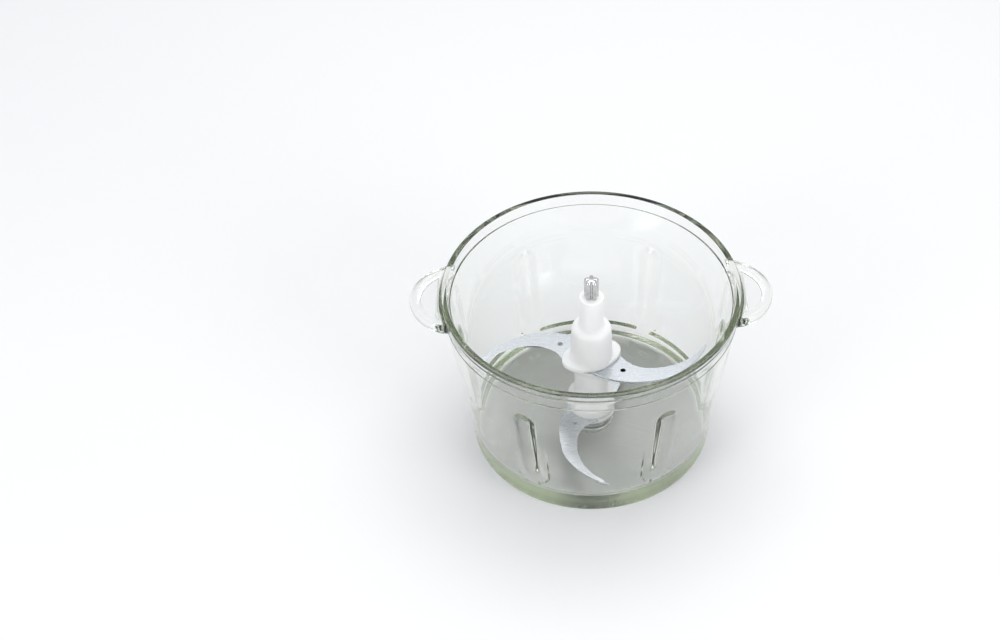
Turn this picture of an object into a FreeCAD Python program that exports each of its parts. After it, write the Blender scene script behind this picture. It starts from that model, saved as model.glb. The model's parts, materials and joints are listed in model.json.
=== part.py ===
import FreeCAD, Part
import math
import os
import Sketcher
from FreeCAD import Placement, Rotation, Vector

# Bowl unit of an electric meat grinder: a pressed glass bowl with a steel pivot pin through its base, and the
# blade carrier that turns on the pin and lifts off it. Millimetres, +Z up, origin at the centre of the bowl's
# base, the two ears on the X axis.

SIZES = {
    # glass bowl
    "rim_radius": 90.0,
    "bowl_height": 118.5,
    "base_radius": 76.0,
    "foot_height": 9.0,
    "base_round": 4.0,
    "rim_round": 1.7,
    "floor_height": 12.0,
    "floor_round": 6.0,
    "wall": 4.6,
    "rim_wall": 3.8,
    "ledge_depth": 7.0,
    "boss_radius": 13.0,
    "boss_height": 0.5,
    "recess_radius": 13.0,
    "stem_clearance": 0.4,
    # ribs on the inside of the wall
    "rib_count": 6.0,
    "rib_below_rim": 40.5,
    "rib_above_floor": 18.0,
    "rib_radius": 12.0,
    "rib_high_depth": 2.3,
    "rib_low_depth": 1.3,
    # ears
    "ear_radius": 27.8,
    "ear_inset": 8.8,
    "ear_thickness": 7.0,
    "ear_drop": 4.0,
    "ear_round": 3.0,
    "dish_radius": 22.6,
    "dish_inset": 2.0,
    "dish_depth": 1.2,
    # pivot pin and its clamping
    "pin_radius": 4.0,
    "pin_height": 68.0,
    "pin_chamfer": 0.8,
    "pin_flange_radius": 9.0,
    "pin_flange_height": 2.0,
    "seal_radius": 9.5,
    "seal_height": 1.0,
    "washer_height": 1.2,
    "nut_flats": 13.0,
    "nut_height": 3.2,
    "plug_gap": 0.4,
    "plug_face": 0.6,
    "plug_skirt": 3.4,
    "plug_wall": 1.5,
    "plug_play": 0.1,
    "stem_to_plug": 0.2,
    "stem_end": 0.4,
    # blades
    "blade_thickness": 1.5,
    "tip_clearance": 2.35,
    "blade_turn": -1.8,
    "leaf_reach": 72.95,
    "back_radius": 48.2,
    "back_x": 27.0,
    "back_y": 26.6,
    "back_end": 2.0,
    "edge_radius": 41.0,
    "root_radius": 20.0,
    "edge_x": 36.1,
    "edge_y": 9.5,
    "root_end": 4.5,
    "bevel_width": 2.6,
    "bevel_depth": 1.1,
    "blade_hole_radius": 1.6,
    "blade_hole_distance": 22.7,
    "blade_hole_angle": 149.6,
    "square": 15.0,
    "square_play": 0.1,
    # carrier sleeve
    "sleeve_radius": 10.7,
    "skirt_radius": 15.0,
    "skirt_height": 5.5,
    "skirt_cone": 4.0,
    "seat_radius": 13.4,
    "seat_height": 6.5,
    "seat_cone": 5.3,
    "spigot_radius": 7.5,
    "spigot_length": 22.5,
    "spigot_play": 0.05,
    "sleeve_web": 3.5,
    "carrier_gap": 0.9,
    "upper_square": 2.8,
    # hub
    "flange_long": 19.3,
    "flange_short": 13.4,
    "flange_arc": 22.0,
    "flange_height": 3.0,
    "flange_turn": 23.0,
    "bell_low_radius": 13.2,
    "bell_top_radius": 12.1,
    "bell_above_sleeve": 7.8,
    "bell_round": 4.0,
    "neck_radius": 7.5,
    "neck_height": 23.2,
    "neck_chamfer": 0.6,
    "neck_round": 1.2,
    # spindle and hub screw
    "shank_depth": 23.0,
    "shank_flats": 8.0,
    "tip_height": 14.0,
    "tip_chamfer": 1.2,
    "lobe_count": 5.0,
    "lobe_circle": 3.05,
    "lobe_radius": 1.5,
    "core_radius": 3.1,
    "screw_radius": 2.5,
    "screw_length": 25.0,
    "screw_head_radius": 4.4,
    "screw_head_height": 3.2,
    "screw_socket": 4.0,
    "screw_socket_depth": 1.8,
    # bearings
    "bush_play": 0.05,
    "bush_wall": 1.15,
    "bush_length": 10.0,
    "lower_bush_lift": 0.6,
    "upper_bush_drop": 2.0,
    "ball_radius": 2.6,
    "thrust_gap": 0.05,
    "ball_play": 0.1,
    "cage_lift": 0.6,
    "cage_lip": 0.8,
    "cage_lip_overlap": 0.25,
    "ring_section": 0.48,
    # clamp ring under the lower blade
    "clamp_ring_height": 2.8,
    "clamp_play": 0.15,
    "clamp_screw_outset": 3.1,
    "clamp_screw_radius": 1.2,
    "clamp_screw_length": 5.5,
    "clamp_head_radius": 2.2,
    "clamp_head_height": 1.2,
}

doc = FreeCAD.newDocument("grinder_bowl")
sheet = doc.addObject("Spreadsheet::Sheet", "Sizes")
for row, (alias, number) in enumerate(SIZES.items(), start=1):
    sheet.set(f"A{row}", alias)
    sheet.set(f"B{row}", str(number))
    sheet.setAlias(f"B{row}", alias)
doc.recompute()


class Dim:
    """A size that knows both its value and the sheet expression behind it."""

    def __init__(self, value, text):
        self.value = value
        self.text = text

    def __add__(self, other):
        other = dim(other)
        return Dim(self.value + other.value, f"({self.text} + {other.text})")

    def __sub__(self, other):
        other = dim(other)
        return Dim(self.value - other.value, f"({self.text} - {other.text})")

    def __mul__(self, other):
        other = dim(other)
        return Dim(self.value * other.value, f"({self.text} * {other.text})")

    def __truediv__(self, other):
        other = dim(other)
        return Dim(self.value / other.value, f"({self.text} / {other.text})")

    def __neg__(self):
        return Dim(-self.value, f"(0 - {self.text})")


def dim(value):
    return value if isinstance(value, Dim) else Dim(float(value), repr(float(value)))


def size(alias):
    return Dim(float(sheet.get(alias)), f"Sizes.{alias}")


def on_circle(distance, degrees):
    """x and y at so many degrees on a circle about Z."""
    turn = math.radians(degrees)
    x = Dim(distance.value * math.cos(turn), f"({distance.text} * cos({degrees}))")
    y = Dim(distance.value * math.sin(turn), f"({distance.text} * sin({degrees}))")
    return x, y


def wall_radius(height):
    """Radius of the bowl's outside at a height above the foot."""
    flare = (size("rim_radius") - size("base_radius")) / (size("bowl_height") - size("foot_height"))
    return size("base_radius") + (dim(height) - size("foot_height")) * flare


ZERO = dim(0.0)
PAST = dim(1.0)  # how far a cutting tool runs past the face it cuts

# ------------------------------------------------------------------ heights that several pieces share
boss_top = size("floor_height") + size("boss_height")
flange_foot = boss_top + size("seal_height")
flange_crown = flange_foot + size("pin_flange_height")
plug_inside = size("plug_gap") + size("plug_face")
stem_foot = plug_inside + size("stem_to_plug")
nut_foot = stem_foot + size("stem_end")
washer_foot = nut_foot + size("nut_height")
outer_seal_foot = washer_foot + size("washer_height")
recess_top = outer_seal_foot + size("seal_height")
ledge_height = size("bowl_height") - size("ledge_depth")
carrier_bottom = flange_crown + size("carrier_gap")
lower_seat = carrier_bottom + size("clamp_ring_height")
lower_blade_top = lower_seat + size("blade_thickness")
skirt_top = lower_blade_top + size("skirt_height")
ball_centre = size("pin_height") + size("thrust_gap") + size("ball_radius")
screw_head_foot = ball_centre + size("ball_radius") + size("thrust_gap")
web_foot = screw_head_foot + size("screw_head_height")
sleeve_top = web_foot + size("sleeve_web")
upper_seat = sleeve_top - size("spigot_length")
upper_blade_top = upper_seat + size("blade_thickness")
seat_foot = upper_seat - size("seat_height")
square_top = upper_blade_top + size("upper_square")
ring_height = (square_top + sleeve_top) / 2.0
bell_top = sleeve_top + size("bell_above_sleeve")
neck_top = bell_top + size("neck_height")
shank_foot = neck_top - size("shank_depth")
cage_foot = size("pin_height") + size("cage_lift")
clamp_screw_top = lower_seat - size("clamp_head_height") + size("clamp_screw_length")

# ------------------------------------------------------------------ radii that several pieces share
socket_radius = size("spigot_radius") + size("spigot_play")
bush_bore = size("pin_radius") + size("bush_play")
sleeve_bore = bush_bore + size("bush_wall")
clamp_screw_distance = size("square") / 2.0 + size("clamp_screw_outset")


# ------------------------------------------------------------------ modelling helpers
def bind(thing, prop, value):
    """Sets a property and ties it to the sheet."""
    setattr(thing, prop, dim(value).value)
    thing.setExpression(prop, dim(value).text)


def place(thing, x=0.0, y=0.0, z=0.0, turn=0.0):
    """Places a piece at sheet-driven x, y, z, turned about Z by so many degrees."""
    at = [dim(x), dim(y), dim(z)]
    thing.Placement = Placement(Vector(*[c.value for c in at]), Rotation(Vector(0, 0, 1), turn))
    for axis, value in zip("xyz", at):
        thing.setExpression(f"Placement.Base.{axis}", value.text)
    return thing


def cylinder(name, radius, foot, top, x=0.0, y=0.0, turn=0.0):
    tool = doc.addObject("Part::Cylinder", name)
    bind(tool, "Radius", radius)
    bind(tool, "Height", dim(top) - dim(foot))
    return place(tool, x, y, foot, turn)


def cone(name, low_radius, high_radius, foot, top):
    tool = doc.addObject("Part::Cone", name)
    bind(tool, "Radius1", low_radius)
    bind(tool, "Radius2", high_radius)
    bind(tool, "Height", dim(top) - dim(foot))
    return place(tool, z=foot)


def square_bar(name, flats, foot, top, turn):
    """A square bar about Z."""
    bar = doc.addObject("Part::Box", name)
    bind(bar, "Length", flats)
    bind(bar, "Width", flats)
    bind(bar, "Height", dim(top) - dim(foot))
    half = dim(flats) / 2.0
    corner = Rotation(Vector(0, 0, 1), turn).multVec(Vector(-half.value, -half.value, dim(foot).value))
    bar.Placement = Placement(corner, Rotation(Vector(0, 0, 1), turn))
    bar.setExpression("Placement.Base.x", f"{half.text} * (sin({turn}) - cos({turn}))")
    bar.setExpression("Placement.Base.y", f"-{half.text} * (sin({turn}) + cos({turn}))")
    bar.setExpression("Placement.Base.z", dim(foot).text)
    return bar


def hex_bar(name, flats, foot, top):
    """A hexagonal bar about Z."""
    bar = doc.addObject("Part::Prism", name)
    bar.Polygon = 6
    bind(bar, "Circumradius", dim(flats) / math.sqrt(3.0))
    bind(bar, "Height", dim(top) - dim(foot))
    return place(bar, z=foot)


def boolean(kind, name, pieces):
    feature = doc.addObject(f"Part::{kind}", name)
    feature.Label = name
    feature.Shapes = pieces
    return feature


def fuse(name, pieces):
    return boolean("MultiFuse", name, pieces)


def common(name, pieces):
    return boolean("MultiCommon", name, pieces)


def cut(name, base, tools):
    """The base with every tool taken out of it."""
    feature = doc.addObject("Part::Cut", name)
    feature.Label = name
    feature.Base = base
    feature.Tool = tools[0] if len(tools) == 1 else fuse(f"{name}_tools", tools)
    return feature


def origin_feature(body, role):
    return next(f for f in body.Origin.OriginFeatures if f.Role == role)


def new_body(name):
    body = doc.addObject("PartDesign::Body", name)
    body.Label = name
    return body


def new_sketch(body, name, role):
    sketch = body.newObject("Sketcher::SketchObject", name)
    sketch.AttachmentSupport = (origin_feature(body, role), [""])
    sketch.MapMode = "FlatFace"
    return sketch


def fix_point(sketch, geometry, point, x, y):
    """Holds a point of the sketch at sheet-driven distances from the origin."""
    for kind, value, axis in (("DistanceX", dim(x), -2), ("DistanceY", dim(y), -1)):
        if abs(value.value) < 1e-9:
            sketch.addConstraint(Sketcher.Constraint("PointOnObject", geometry, point, axis))
            continue
        index = sketch.addConstraint(Sketcher.Constraint(kind, -1, 1, geometry, point, value.value))
        sketch.setExpression(f"Constraints[{index}]", value.text)


def fix_radius(sketch, geometry, radius):
    index = sketch.addConstraint(Sketcher.Constraint("Radius", geometry, dim(radius).value))
    sketch.setExpression(f"Constraints[{index}]", dim(radius).text)


def turned(name, points):
    """A body turned about Z from an outline of (radius, height) points."""
    body = new_body(name)
    sketch = new_sketch(body, f"{name}_outline", "XZ_Plane")
    corners = [Vector(dim(x).value, dim(y).value, 0) for x, y in points]
    count = len(corners)
    for i in range(count):
        sketch.addGeometry(Part.LineSegment(corners[i], corners[(i + 1) % count]), False)
    for i in range(count):
        sketch.addConstraint(Sketcher.Constraint("Coincident", i, 2, (i + 1) % count, 1))
    for i, (x, y) in enumerate(points):
        fix_point(sketch, i, 1, x, y)
    doc.recompute()
    solid = body.newObject("PartDesign::Revolution", f"{name}_turned")
    solid.Profile = sketch
    solid.ReferenceAxis = (sketch, ["V_Axis"])
    solid.Angle = 360.0
    doc.recompute()
    return body


def soften(body, kind, radius, height, amount):
    """Rounds (Fillet) or breaks (Chamfer) the level circle of this radius and height on a body."""
    doc.recompute()
    base = body.Tip
    names = []
    for i, edge in enumerate(base.Shape.Edges, start=1):
        curve = edge.Curve
        if not isinstance(curve, Part.Circle):
            continue
        if abs(curve.Radius - dim(radius).value) < 1e-3 and abs(curve.Center.z - dim(height).value) < 1e-3:
            names.append(f"Edge{i}")
    if not names:
        raise ValueError(f"{body.Label}: no edge of radius {dim(radius).value} at {dim(height).value}")
    feature = body.newObject(f"PartDesign::{kind}", f"{body.Label}_{kind.lower()}")
    feature.Base = (base, names)
    bind(feature, "Radius" if kind == "Fillet" else "Size", amount)
    doc.recompute()
    return feature


# ------------------------------------------------------------------ glass bowl
def rib(name, azimuth):
    """A round-ended bar along the wall, deeper in the bowl at its upper end than at its lower one."""
    low = size("floor_height") + size("rib_above_floor")
    high = size("bowl_height") - size("rib_below_rim")
    to_axis = size("rib_radius") - size("wall")
    low_axis = wall_radius(low) + to_axis - size("rib_low_depth")
    high_axis = wall_radius(high) + to_axis - size("rib_high_depth")
    lean = math.atan2((high_axis - low_axis).value, (high - low).value)
    length = f"sqrt(({high_axis.text} - {low_axis.text})^2 + ({high.text} - {low.text})^2)"
    bar = doc.addObject("Part::Cylinder", f"{name}_bar")
    bind(bar, "Radius", size("rib_radius"))
    bar.Height = math.hypot((high_axis - low_axis).value, (high - low).value)
    bar.setExpression("Height", length)
    place(bar, *on_circle(low_axis, azimuth), low)
    around = Rotation(Vector(0, 0, 1), azimuth)
    bar.Placement.Rotation = around.multiply(Rotation(Vector(0, 1, 0), math.degrees(lean)))
    pieces = [bar]
    for end, axis, height in (("low", low_axis, low), ("high", high_axis, high)):
        ball = doc.addObject("Part::Sphere", f"{name}_{end}_ball")
        bind(ball, "Radius", size("rib_radius"))
        pieces.append(place(ball, *on_circle(axis, azimuth), height, azimuth))
    return pieces


def ear(name, side):
    """A solid lug: a rounded disc half sunk in the wall, dished above and below."""
    top = size("bowl_height") - size("ear_drop")
    foot = top - size("ear_thickness")
    disc = turned(f"{name}_disc", [
        (ZERO, ZERO),
        (size("ear_radius"), ZERO),
        (size("ear_radius"), size("ear_thickness")),
        (ZERO, size("ear_thickness")),
    ])
    soften(disc, "Fillet", size("ear_radius"), ZERO, size("ear_round"))
    soften(disc, "Fillet", size("ear_radius"), size("ear_thickness"), size("ear_round"))
    centre = (size("rim_radius") - size("ear_inset")) * side
    place(disc, x=centre, z=foot)
    chord = doc.addObject("Part::Box", f"{name}_chord")
    bind(chord, "Length", size("ear_radius"))
    bind(chord, "Width", size("ear_radius") * 2.0)
    bind(chord, "Height", size("bowl_height"))
    dish_start = size("rim_radius") + size("dish_inset")
    start = dish_start if side > 0 else -(dish_start + size("ear_radius"))
    place(chord, x=start, y=-size("ear_radius"))
    dishes = []
    for level, low, high in (
        ("upper", top - size("dish_depth"), top + PAST),
        ("lower", foot - PAST, foot + size("dish_depth")),
    ):
        round_dish = cylinder(f"{name}_{level}_round", size("dish_radius"), low, high, x=centre)
        dishes.append(common(f"{name}_{level}_dish", [round_dish, chord]))
    return cut(name, disc, dishes)


def glass_bowl():
    step = size("wall") - size("rim_wall")
    above_rim = size("bowl_height") + PAST
    envelope = turned("bowl_outside", [
        (ZERO, ZERO),
        (size("base_radius"), ZERO),
        (size("base_radius"), size("foot_height")),
        (size("rim_radius"), size("bowl_height")),
        (ZERO, size("bowl_height")),
    ])
    soften(envelope, "Fillet", size("base_radius"), ZERO, size("base_round"))
    soften(envelope, "Fillet", size("rim_radius"), size("bowl_height"), size("rim_round"))
    cavity = turned("bowl_inside", [
        (ZERO, size("floor_height")),
        (wall_radius(size("floor_height")) - size("wall"), size("floor_height")),
        (wall_radius(ledge_height) - size("wall"), ledge_height),
        (wall_radius(ledge_height) - size("wall") + step, ledge_height),
        (wall_radius(above_rim) - size("rim_wall"), above_rim),
        (ZERO, above_rim),
    ])
    floor_edge = wall_radius(size("floor_height")) - size("wall")
    soften(cavity, "Fillet", floor_edge, size("floor_height"), size("floor_round"))
    outside = fuse("bowl_with_ears", [envelope, ear("ear_right", 1), ear("ear_left", -1)])
    shell = cut("bowl_shell", outside, [cavity])
    bars = []
    for i in range(int(size("rib_count").value)):
        bars += rib(f"rib_{i}", 360.0 * i / size("rib_count").value)
    ribs = common("bowl_ribs", [envelope, fuse("bowl_rib_bars", bars)])
    boss = cylinder("bowl_boss", size("boss_radius"), recess_top, boss_top)
    recess = cylinder("bowl_recess", size("recess_radius"), -PAST, recess_top)
    hole = cylinder("bowl_hole", size("pin_radius") + size("stem_clearance"), ZERO, boss_top + PAST)
    return cut("glass_bowl", fuse("bowl_ribbed", [shell, ribs, boss]), [recess, hole])


# ------------------------------------------------------------------ pivot pin and what clamps it
def pivot_pin():
    pin = turned("pivot_pin", [
        (ZERO, stem_foot),
        (size("pin_radius"), stem_foot),
        (size("pin_radius"), flange_foot),
        (size("pin_flange_radius"), flange_foot),
        (size("pin_flange_radius"), flange_crown),
        (size("pin_radius"), flange_crown),
        (size("pin_radius"), size("pin_height")),
        (ZERO, size("pin_height")),
    ])
    soften(pin, "Chamfer", size("pin_radius"), size("pin_height"), size("pin_chamfer"))
    soften(pin, "Chamfer", size("pin_flange_radius"), flange_crown, size("pin_chamfer"))
    return pin


def ring(name, outer, inner, foot, top):
    """A plain turned ring."""
    return turned(name, [(inner, foot), (outer, foot), (outer, top), (inner, top)])


def pin_nut():
    blank = hex_bar("pin_nut_blank", size("nut_flats"), nut_foot, washer_foot)
    bore = cylinder("pin_nut_bore", size("pin_radius"), nut_foot - PAST, washer_foot + PAST)
    return cut("pin_nut", blank, [bore])


def base_plug():
    outside = size("recess_radius") - size("plug_play")
    skirt_inside = outside - size("plug_wall")
    return turned("base_plug", [
        (ZERO, size("plug_gap")),
        (outside, size("plug_gap")),
        (outside, plug_inside + size("plug_skirt")),
        (skirt_inside, plug_inside + size("plug_skirt")),
        (skirt_inside, plug_inside),
        (ZERO, plug_inside),
    ])


# ------------------------------------------------------------------ blades
def blade_leaf_sketch(body, name, reach):
    """One sickle leaf on the -X side: convex back, tip on the reach, concave edge in two tangent arcs."""
    sketch = new_sketch(body, f"{name}_leaf_outline", "XY_Plane")
    scale = reach / size("leaf_reach")
    back_x, back_y, back_r = -(size("back_x") * scale), -(size("back_y") * scale), size("back_radius") * scale
    edge_x, edge_y = -(size("edge_x") * scale), size("edge_y") * scale
    edge_r, root_r = size("edge_radius") * scale, size("root_radius") * scale

    def arc(x, y, radius, start, end):
        circle = Part.Circle(Vector(dim(x).value, dim(y).value, 0), Vector(0, 0, 1), dim(radius).value)
        return sketch.addGeometry(Part.ArcOfCircle(circle, math.radians(start), math.radians(end)), False)

    back = arc(back_x, back_y, back_r, 53.0, 155.0)
    tip = arc(ZERO, ZERO, reach, 186.0, 190.0)
    edge = arc(edge_x, edge_y - edge_r, edge_r, 90.0, 150.0)
    root = arc(edge_x, edge_y - root_r, root_r, 17.0, 90.0)
    inward = sketch.addGeometry(Part.LineSegment(Vector(-17, -4.5, 0), Vector(0, 0, 0)), False)
    outward = sketch.addGeometry(Part.LineSegment(Vector(0, 0, 0), Vector(2, 11.9, 0)), False)
    for first, first_end, second, second_end in (
        (back, 2, tip, 1),
        (tip, 2, edge, 2),
        (edge, 1, root, 2),
        (root, 1, inward, 1),
        (inward, 2, outward, 1),
        (outward, 2, back, 1),
    ):
        sketch.addConstraint(Sketcher.Constraint("Coincident", first, first_end, second, second_end))
    sketch.addConstraint(Sketcher.Constraint("Coincident", inward, 2, -1, 1))
    sketch.addConstraint(Sketcher.Constraint("Coincident", tip, 3, -1, 1))
    fix_point(sketch, back, 3, back_x, back_y)
    fix_point(sketch, edge, 3, edge_x, edge_y - edge_r)
    for curve, radius in ((back, back_r), (tip, reach), (edge, edge_r), (root, root_r)):
        fix_radius(sketch, curve, radius)
    for kind, curve, point, value in (
        ("DistanceX", root, 3, edge_x),
        ("DistanceX", edge, 1, edge_x),
        ("DistanceY", root, 1, -size("root_end")),
        ("DistanceX", back, 1, size("back_end")),
    ):
        index = sketch.addConstraint(Sketcher.Constraint(kind, -1, 1, curve, point, value.value))
        sketch.setExpression(f"Constraints[{index}]", value.text)
    doc.recompute()
    return sketch


def pad(body, name, sketch, length):
    feature = body.newObject("PartDesign::Pad", name)
    feature.Profile = sketch
    bind(feature, "Length", length)
    doc.recompute()
    return feature


def pocket(body, name, sketch):
    """Cuts a sketch on the underside plane up through the whole blade."""
    before = body.Tip.Shape.Volume
    feature = body.newObject("PartDesign::Pocket", name)
    feature.Profile = sketch
    feature.Type = "ThroughAll"
    feature.Reversed = True
    doc.recompute()
    if feature.Shape.Volume >= before - 1e-6:
        raise ValueError(f"{name} cut nothing")
    return feature


def twofold(body, name, feature):
    pattern = body.newObject("PartDesign::PolarPattern", name)
    pattern.Originals = [feature]
    pattern.Axis = (origin_feature(body, "Z_Axis"), [""])
    pattern.Angle = 360.0
    pattern.Occurrences = 2
    body.Tip = pattern
    doc.recompute()
    return pattern


def pair_of_holes(body, name, radius, x, y):
    """A round hole through the blade and its twin across the axis."""
    sketch = new_sketch(body, f"{name}_outline", "XY_Plane")
    sketch.addGeometry(Part.Circle(Vector(x.value, y.value, 0), Vector(0, 0, 1), radius.value), False)
    fix_point(sketch, 0, 3, x, y)
    fix_radius(sketch, 0, radius)
    return twofold(body, f"{name}s", pocket(body, name, sketch))


def s_blade(name, height, turn, screw_holes=False):
    """A flat S-shaped blade: two sickle leaves on a round middle with a square hole."""
    reach = wall_radius(height) - size("wall") - size("rib_high_depth") - size("tip_clearance")
    scale = reach / size("leaf_reach")
    body = new_body(name)
    middle = new_sketch(body, f"{name}_middle_outline", "XY_Plane")
    middle.addGeometry(Part.Circle(Vector(0, 0, 0), Vector(0, 0, 1), size("seat_radius").value), False)
    middle.addConstraint(Sketcher.Constraint("Coincident", 0, 3, -1, 1))
    fix_radius(middle, 0, size("seat_radius"))
    pad(body, f"{name}_middle", middle, size("blade_thickness"))
    leaf = pad(body, f"{name}_leaf", blade_leaf_sketch(body, name, reach), size("blade_thickness"))
    twofold(body, f"{name}_leaves", leaf)
    leaves = body.Tip
    ground = [(size(alias) * scale).value for alias in ("edge_radius", "root_radius")]
    edges = []
    for i, edge in enumerate(leaves.Shape.Edges, start=1):
        curve = edge.Curve
        if not isinstance(curve, Part.Circle) or edge.BoundBox.ZMax > 1e-6:
            continue
        if min(abs(curve.Radius - radius) for radius in ground) < 1e-3:
            edges.append(f"Edge{i}")
    bevel = body.newObject("PartDesign::Chamfer", f"{name}_bevel")
    bevel.Base = (leaves, edges)
    bevel.ChamferType = "Two distances"
    bind(bevel, "Size", size("bevel_depth"))
    bind(bevel, "Size2", size("bevel_width"))
    doc.recompute()
    hole_at = on_circle(size("blade_hole_distance") * scale, size("blade_hole_angle").value)
    pair_of_holes(body, f"{name}_hole", size("blade_hole_radius"), *hole_at)
    if screw_holes:
        screw_hole = size("clamp_screw_radius") + size("clamp_play")
        pair_of_holes(body, f"{name}_screw_hole", screw_hole, ZERO, clamp_screw_distance)
    opening = new_sketch(body, f"{name}_square_outline", "XY_Plane")
    half = size("square") / 2.0 + size("square_play")
    corners = [(half, half), (-half, half), (-half, -half), (half, -half)]
    for i in range(4):
        start = Vector(corners[i][0].value, corners[i][1].value, 0)
        end = Vector(corners[(i + 1) % 4][0].value, corners[(i + 1) % 4][1].value, 0)
        opening.addGeometry(Part.LineSegment(start, end), False)
    for i in range(4):
        opening.addConstraint(Sketcher.Constraint("Coincident", i, 2, (i + 1) % 4, 1))
        fix_point(opening, i, 1, *corners[i])
    pocket(body, f"{name}_square", opening)
    place(body, z=height, turn=turn)
    return body


# ------------------------------------------------------------------ blade carrier
def carrier_sleeve(turn):
    """White sleeve on the pin: skirt over the lower blade, seat under the upper one, spigot into the hub."""
    groove_low = ring_height - size("ring_section")
    groove_high = ring_height + size("ring_section")
    groove_radius = socket_radius - size("ring_section") * 2.0
    skirt_to_sleeve = skirt_top + size("skirt_cone")
    barrel = turned("sleeve_barrel", [
        (ZERO, lower_blade_top),
        (size("skirt_radius"), lower_blade_top),
        (size("skirt_radius"), skirt_top),
        (size("sleeve_radius"), skirt_to_sleeve),
        (size("sleeve_radius"), seat_foot),
        (size("seat_radius"), seat_foot + size("seat_cone")),
        (size("seat_radius"), upper_seat),
        (size("spigot_radius"), upper_seat),
        (size("spigot_radius"), groove_low),
        (groove_radius, groove_low),
        (groove_radius, groove_high),
        (size("spigot_radius"), groove_high),
        (size("spigot_radius"), sleeve_top),
        (ZERO, sleeve_top),
    ])
    soften(barrel, "Chamfer", size("spigot_radius"), sleeve_top, size("neck_chamfer"))
    lower_square = square_bar("sleeve_lower_square", size("square"), carrier_bottom, lower_blade_top, turn)
    upper_square = square_bar("sleeve_upper_square", size("square"), upper_seat, square_top, turn)
    cuts = [
        cylinder("sleeve_bore_cut", sleeve_bore, carrier_bottom - PAST, web_foot),
        cylinder("sleeve_screw_cut", size("screw_radius"), web_foot - PAST, sleeve_top + PAST),
    ]
    for i in range(2):
        azimuth = turn + 180.0 * i
        radius = size("clamp_screw_radius")
        cuts.append(off_axis_cylinder(f"sleeve_clamp_hole_{i}", radius, lower_seat, clamp_screw_top, azimuth))
    return cut("carrier_sleeve", fuse("sleeve_blank", [barrel, lower_square, upper_square]), cuts)


def off_axis_cylinder(name, radius, foot, top, azimuth):
    """An upright cylinder on the clamp screws' circle."""
    return cylinder(name, radius, foot, top, *on_circle(clamp_screw_distance, azimuth))


def clamp_screw_tools(name, turn, growth, foot, shank_top):
    """Head and shank of both clamp screws, or their holes when grown."""
    head_top = carrier_bottom + size("clamp_head_height")
    tools = []
    for i in range(2):
        azimuth = turn + 180.0 * i
        head = size("clamp_head_radius") + growth
        shank = size("clamp_screw_radius") + growth
        tools.append(off_axis_cylinder(f"{name}_head_{i}", head, foot, head_top, azimuth))
        tools.append(off_axis_cylinder(f"{name}_shank_{i}", shank, foot, shank_top, azimuth))
    return tools


def lower_clamp_ring(turn):
    blank = cylinder("clamp_ring_blank", size("skirt_radius"), carrier_bottom, lower_seat)
    flats = size("square") + size("clamp_play") * 2.0
    opening = square_bar("clamp_ring_square", flats, carrier_bottom - PAST, lower_seat + PAST, turn)
    below, above = carrier_bottom - PAST, lower_seat + PAST
    holes = clamp_screw_tools("clamp_ring_hole", turn, size("clamp_play"), below, above)
    return cut("lower_clamp_ring", blank, [opening, *holes])


def clamp_screws(turn):
    return fuse("clamp_screws", clamp_screw_tools("clamp_screw", turn, ZERO, carrier_bottom, clamp_screw_top))


def upper_hub(turn):
    """White hub: oval flange on the blade, bell with a round shoulder, round neck that the drive grips."""
    bell = turned("hub_bell", [
        (ZERO, upper_blade_top),
        (size("bell_low_radius"), upper_blade_top),
        (size("bell_top_radius"), bell_top),
        (size("neck_radius"), bell_top),
        (size("neck_radius"), neck_top),
        (ZERO, neck_top),
    ])
    soften(bell, "Fillet", size("bell_top_radius"), bell_top, size("bell_round"))
    soften(bell, "Fillet", size("neck_radius"), bell_top, size("neck_round"))
    soften(bell, "Chamfer", size("neck_radius"), neck_top, size("neck_chamfer"))
    flange_top = upper_blade_top + size("flange_height")
    offset = size("flange_arc") - size("flange_short")
    pieces = [cylinder("flange_ends", size("flange_long"), upper_blade_top, flange_top)]
    for name, quarter in (("flange_rear", 90.0), ("flange_front", -90.0)):
        x, y = on_circle(offset, size("flange_turn").value + quarter)
        pieces.append(cylinder(name, size("flange_arc"), upper_blade_top, flange_top, x, y))
    flange = common("hub_flange", pieces)
    below = upper_blade_top - PAST
    square_flats = size("square") + size("square_play") * 2.0
    cuts = [
        square_bar("hub_square", square_flats, below, square_top + size("square_play"), turn),
        cylinder("hub_socket", socket_radius, below, sleeve_top + size("spigot_play")),
        cylinder("hub_screw_hole", size("screw_radius"), sleeve_top, shank_foot + PAST),
        square_bar("hub_shank_hole", size("shank_flats"), shank_foot, neck_top + PAST, turn),
    ]
    return cut("upper_hub", fuse("hub_blank", [bell, flange]), cuts)


def drive_spindle(turn):
    """Steel spindle: square shank in the neck and a lobed tip with a tapered end."""
    foot, top = neck_top, neck_top + size("tip_height")
    parts = [cylinder("tip_core", size("core_radius"), foot, top)]
    for i in range(int(size("lobe_count").value)):
        azimuth = turn + 90.0 + 360.0 * i / size("lobe_count").value
        x, y = on_circle(size("lobe_circle"), azimuth)
        parts.append(cylinder(f"tip_lobe_{i}", size("lobe_radius"), foot, top, x, y))
    reach = size("lobe_circle") + size("lobe_radius")
    shoulder = top - size("tip_chamfer")
    limit = fuse("tip_limit", [
        cylinder("tip_limit_body", reach, foot, shoulder),
        cone("tip_limit_end", reach, reach - size("tip_chamfer"), shoulder, top),
    ])
    tip = common("spindle_tip", [fuse("tip_blank", parts), limit])
    shank = square_bar("spindle_shank", size("shank_flats"), shank_foot, foot, turn)
    screw_top = web_foot + size("screw_length")
    tapped = cylinder("spindle_tapping", size("screw_radius"), shank_foot - PAST, screw_top)
    return cut("drive_spindle", fuse("spindle_blank", [tip, shank]), [tapped])


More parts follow.
